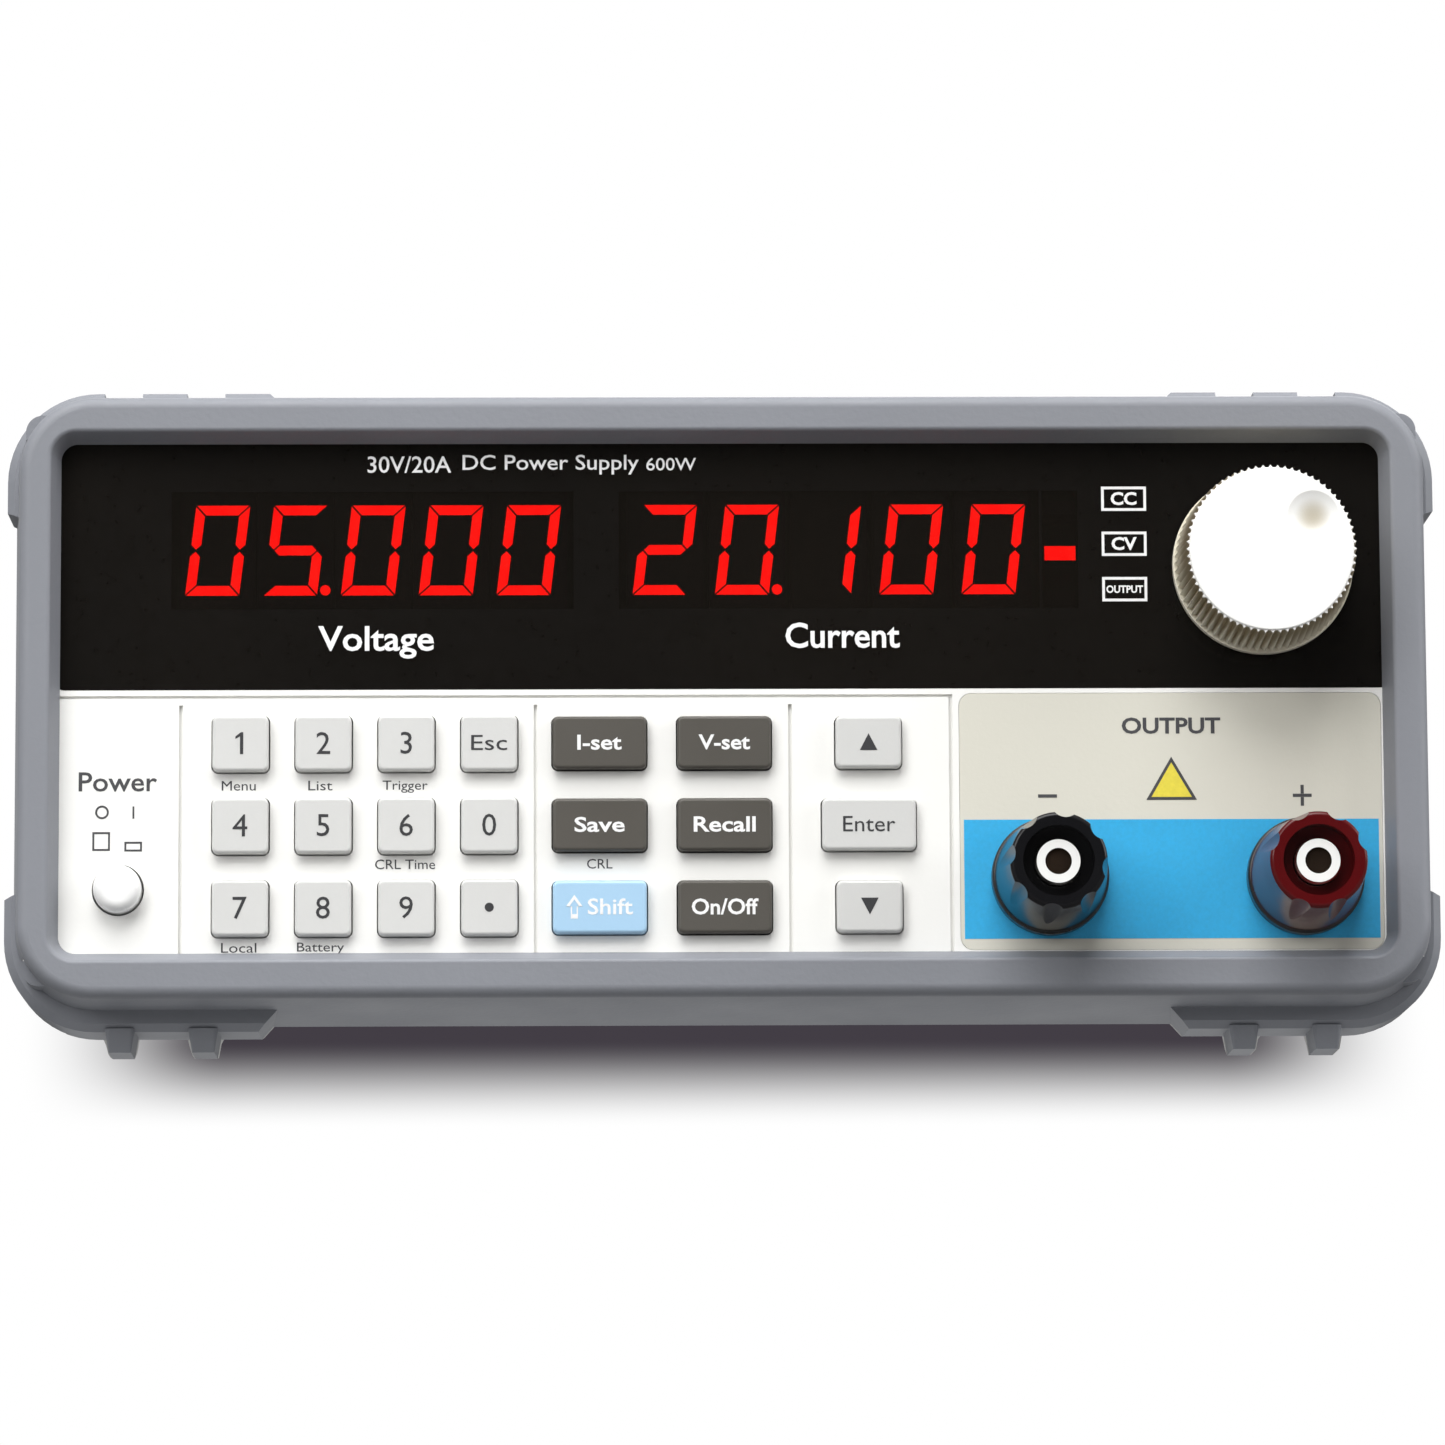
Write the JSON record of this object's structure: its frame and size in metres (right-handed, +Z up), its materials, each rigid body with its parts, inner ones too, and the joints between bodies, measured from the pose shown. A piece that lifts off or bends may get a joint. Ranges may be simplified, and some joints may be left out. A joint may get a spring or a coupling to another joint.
{
  "type": "bench power supply",
  "caption": "Half-rack bench DC power supply with LED display, keypad, tuning knob, binding posts and rubber bumpers, a fan, mains inlet and ports behind.",
  "frame": {"origin": "centre of the bounding box's base, on the surface the feet stand on", "axes": "+X to the right of someone facing the front panel, +Y towards the rear, +Z up"},
  "size_m": [0.2214, 0.3846, 0.1028],
  "materials": {
    "bumper_rubber": "satin moulded rubber",
    "plated_steel": "zinc plated",
    "case_paint": "fine texture powder coat",
    "panel_plastic": "satin moulding",
    "window_acrylic": "smoked and polished",
    "plate_print": "printed polycarbonate",
    "silicone": "translucent silicone",
    "board_laminate": "solder mask",
    "digit_plastic": "black face, red segments",
    "lamp_lens": "clear red lens",
    "knob_plastic": "satin moulding",
    "zinc_casting": "die cast",
    "button_plastic": "polished moulding",
    "black_plastic": "moulded",
    "nickel_brass": "nickel plated",
    "post_black": "polished moulding",
    "post_red": "polished moulding",
    "chrome_wire": "plated wire",
    "fuse_glass": "clear tube with metal ends",
    "terminal_green": "moulded",
    "heat_sink_aluminium": "extruded",
    "ferrite": "ferrite core, taped winding",
    "capacitor_sleeve": "shrink sleeve",
    "lead_sleeve": "silicone insulation",
    "key_light": "satin moulding",
    "key_dark": "satin moulding",
    "key_blue": "satin moulding"
  },
  "bodies": {
    "case": {"front_bumper": "bumper_rubber", "rear_bumper": "bumper_rubber", "base_tray": "plated_steel", "top_cover": "case_paint", "rear_panel": "case_paint", "front_panel": "panel_plastic", "display_window": "window_acrylic", "output_plate": "plate_print", "keypad_mat": "silicone", "front_board": "board_laminate", "digit_modules": "digit_plastic", "status_lamps": "lamp_lens", "encoder_body": "zinc_casting", "power_switch": "black_plastic", "post_studs": "nickel_brass", "post_collars": "black_plastic", "post_nuts": "nickel_brass", "fan_frame": "black_plastic", "fan_guard": "chrome_wire", "mains_inlet": "black_plastic", "inlet_pins": "nickel_brass", "serial_port": "plated_steel", "sense_terminals": "terminal_green", "main_board": "board_laminate", "heat_sinks": "heat_sink_aluminium", "transformer": "ferrite", "capacitors": "capacitor_sleeve", "output_leads": "lead_sleeve", "case_screws": "plated_steel"},
    "key_1": {"key_1": "key_light"},
    "key_2": {"key_2": "key_light"},
    "key_3": {"key_3": "key_light"},
    "key_escape": {"key_escape": "key_light"},
    "key_4": {"key_4": "key_light"},
    "key_5": {"key_5": "key_light"},
    "key_6": {"key_6": "key_light"},
    "key_0": {"key_0": "key_light"},
    "key_7": {"key_7": "key_light"},
    "key_8": {"key_8": "key_light"},
    "key_9": {"key_9": "key_light"},
    "key_point": {"key_point": "key_light"},
    "key_i_set": {"key_i_set": "key_dark"},
    "key_v_set": {"key_v_set": "key_dark"},
    "key_save": {"key_save": "key_dark"},
    "key_recall": {"key_recall": "key_dark"},
    "key_shift": {"key_shift": "key_blue"},
    "key_on_off": {"key_on_off": "key_dark"},
    "key_up": {"key_up": "key_light"},
    "key_enter": {"key_enter": "key_light"},
    "key_down": {"key_down": "key_light"},
    "power_button": {"power_button": "button_plastic"},
    "knob": {"knob": "knob_plastic", "encoder_shaft": "plated_steel"},
    "negative_ring": {"negative_clamp_ring": "nickel_brass"},
    "negative_cap": {"negative_cap": "post_black"},
    "positive_ring": {"positive_clamp_ring": "nickel_brass"},
    "positive_cap": {"positive_cap": "post_red"},
    "fan_rotor": {"fan_rotor": "black_plastic"},
    "fuse_drawer": {"fuse_drawer": "black_plastic", "fuse": "fuse_glass"}
  },
  "joints": [
    {"name": "key_1_press", "type": "slide", "parent": "case", "child": "key_1", "axis": [0, 1, 0], "range_m": [0, 0.0012], "stiffness_N_per_m": 500, "springref_m": -0.0004},
    {"name": "key_2_press", "type": "slide", "parent": "case", "child": "key_2", "axis": [0, 1, 0], "range_m": [0, 0.0012], "stiffness_N_per_m": 500, "springref_m": -0.0004},
    {"name": "key_3_press", "type": "slide", "parent": "case", "child": "key_3", "axis": [0, 1, 0], "range_m": [0, 0.0012], "stiffness_N_per_m": 500, "springref_m": -0.0004},
    {"name": "key_escape_press", "type": "slide", "parent": "case", "child": "key_escape", "axis": [0, 1, 0], "range_m": [0, 0.0012], "stiffness_N_per_m": 500, "springref_m": -0.0004},
    {"name": "key_4_press", "type": "slide", "parent": "case", "child": "key_4", "axis": [0, 1, 0], "range_m": [0, 0.0012], "stiffness_N_per_m": 500, "springref_m": -0.0004},
    {"name": "key_5_press", "type": "slide", "parent": "case", "child": "key_5", "axis": [0, 1, 0], "range_m": [0, 0.0012], "stiffness_N_per_m": 500, "springref_m": -0.0004},
    {"name": "key_6_press", "type": "slide", "parent": "case", "child": "key_6", "axis": [0, 1, 0], "range_m": [0, 0.0012], "stiffness_N_per_m": 500, "springref_m": -0.0004},
    {"name": "key_0_press", "type": "slide", "parent": "case", "child": "key_0", "axis": [0, 1, 0], "range_m": [0, 0.0012], "stiffness_N_per_m": 500, "springref_m": -0.0004},
    {"name": "key_7_press", "type": "slide", "parent": "case", "child": "key_7", "axis": [0, 1, 0], "range_m": [0, 0.0012], "stiffness_N_per_m": 500, "springref_m": -0.0004},
    {"name": "key_8_press", "type": "slide", "parent": "case", "child": "key_8", "axis": [0, 1, 0], "range_m": [0, 0.0012], "stiffness_N_per_m": 500, "springref_m": -0.0004},
    {"name": "key_9_press", "type": "slide", "parent": "case", "child": "key_9", "axis": [0, 1, 0], "range_m": [0, 0.0012], "stiffness_N_per_m": 500, "springref_m": -0.0004},
    {"name": "key_point_press", "type": "slide", "parent": "case", "child": "key_point", "axis": [0, 1, 0], "range_m": [0, 0.0012], "stiffness_N_per_m": 500, "springref_m": -0.0004},
    {"name": "key_i_set_press", "type": "slide", "parent": "case", "child": "key_i_set", "axis": [0, 1, 0], "range_m": [0, 0.0012], "stiffness_N_per_m": 500, "springref_m": -0.0004},
    {"name": "key_v_set_press", "type": "slide", "parent": "case", "child": "key_v_set", "axis": [0, 1, 0], "range_m": [0, 0.0012], "stiffness_N_per_m": 500, "springref_m": -0.0004},
    {"name": "key_save_press", "type": "slide", "parent": "case", "child": "key_save", "axis": [0, 1, 0], "range_m": [0, 0.0012], "stiffness_N_per_m": 500, "springref_m": -0.0004},
    {"name": "key_recall_press", "type": "slide", "parent": "case", "child": "key_recall", "axis": [0, 1, 0], "range_m": [0, 0.0012], "stiffness_N_per_m": 500, "springref_m": -0.0004},
    {"name": "key_shift_press", "type": "slide", "parent": "case", "child": "key_shift", "axis": [0, 1, 0], "range_m": [0, 0.0012], "stiffness_N_per_m": 500, "springref_m": -0.0004},
    {"name": "key_on_off_press", "type": "slide", "parent": "case", "child": "key_on_off", "axis": [0, 1, 0], "range_m": [0, 0.0012], "stiffness_N_per_m": 500, "springref_m": -0.0004},
    {"name": "key_up_press", "type": "slide", "parent": "case", "child": "key_up", "axis": [0, 1, 0], "range_m": [0, 0.0012], "stiffness_N_per_m": 500, "springref_m": -0.0004},
    {"name": "key_enter_press", "type": "slide", "parent": "case", "child": "key_enter", "axis": [0, 1, 0], "range_m": [0, 0.0012], "stiffness_N_per_m": 500, "springref_m": -0.0004},
    {"name": "key_down_press", "type": "slide", "parent": "case", "child": "key_down", "axis": [0, 1, 0], "range_m": [0, 0.0012], "stiffness_N_per_m": 500, "springref_m": -0.0004},
    {"name": "power_press", "type": "slide", "parent": "case", "child": "power_button", "axis": [0, 1, 0], "range_m": [0, 0.004], "stiffness_N_per_m": 500, "springref_m": -0.001},
    {"name": "knob_turn", "type": "hinge", "parent": "case", "child": "knob", "pos_m": [0.0832, -0.1783, 0.0741], "axis": [0, -1, 0], "continuous": true},
    {"name": "negative_ring_slide", "type": "slide", "parent": "case", "child": "negative_ring", "axis": [0, -1, 0], "range_m": [0, 0.004]},
    {"name": "negative_cap_turn", "type": "hinge", "parent": "negative_ring", "child": "negative_cap", "pos_m": [0.0499, -0.1823, 0.0258], "axis": [0, -1, 0], "range_deg": [0, 1440]},
    {"name": "positive_ring_slide", "type": "slide", "parent": "case", "child": "positive_ring", "axis": [0, -1, 0], "range_m": [0, 0.004]},
    {"name": "positive_cap_turn", "type": "hinge", "parent": "positive_ring", "child": "positive_cap", "pos_m": [0.0891, -0.1823, 0.0258], "axis": [0, -1, 0], "range_deg": [0, 1440]},
    {"name": "fan_spin", "type": "hinge", "parent": "case", "child": "fan_rotor", "pos_m": [-0.052, 0.1707, 0.0538], "axis": [0, 1, 0], "continuous": true},
    {"name": "fuse_drawer_slide", "type": "slide", "parent": "case", "child": "fuse_drawer", "axis": [0, 1, 0], "range_m": [0, 0.018]}
  ],
  "couplings": [
    {"joint": "negative_cap_turn", "follows": "negative_ring_slide", "rad_per_m": 6283.2},
    {"joint": "positive_cap_turn", "follows": "positive_ring_slide", "rad_per_m": 6283.2}
  ]
}
